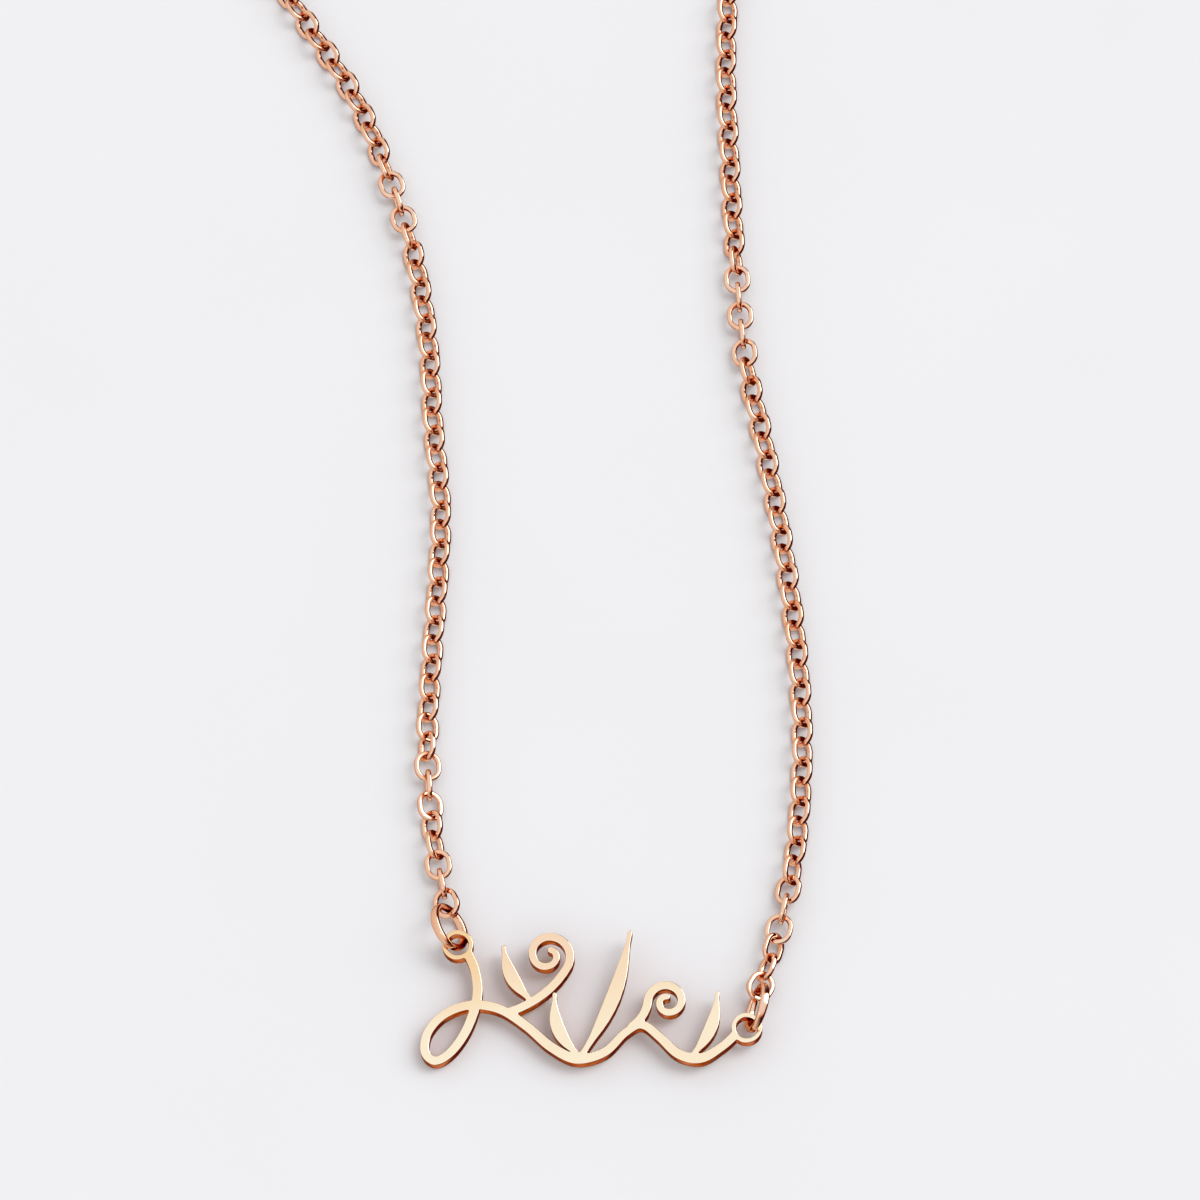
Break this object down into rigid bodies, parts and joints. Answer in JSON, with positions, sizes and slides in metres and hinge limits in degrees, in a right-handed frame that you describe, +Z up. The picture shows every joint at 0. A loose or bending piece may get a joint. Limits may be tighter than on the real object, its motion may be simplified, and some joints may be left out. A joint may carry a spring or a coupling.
{
  "type": "nameplate necklace",
  "caption": "Flat cut plate with eyelets on a cable chain necklace, laid out on a table, with jump rings and a clasp.",
  "frame": {"origin": "on the table, under the middle of the whole necklace's box", "axes": "+Z up from the table, +Y from the plate towards the clasp, +X to the right of someone who looks at the plate with the clasp at the far end"},
  "size_m": [0.065, 0.185, 0.0046],
  "materials": {
    "plate_metal": "polished pale rose-gold plating",
    "chain_metal": "polished rose-gold plating"
  },
  "bodies": {
    "root": {"nameplate": "plate_metal", "jump_ring_left": "chain_metal", "jump_ring_right": "chain_metal", "chain_left": "chain_metal", "chain_right": "chain_metal", "clasp_ring": "chain_metal", "clasp": "chain_metal", "end_ring": "chain_metal"}
  },
  "joints": []
}
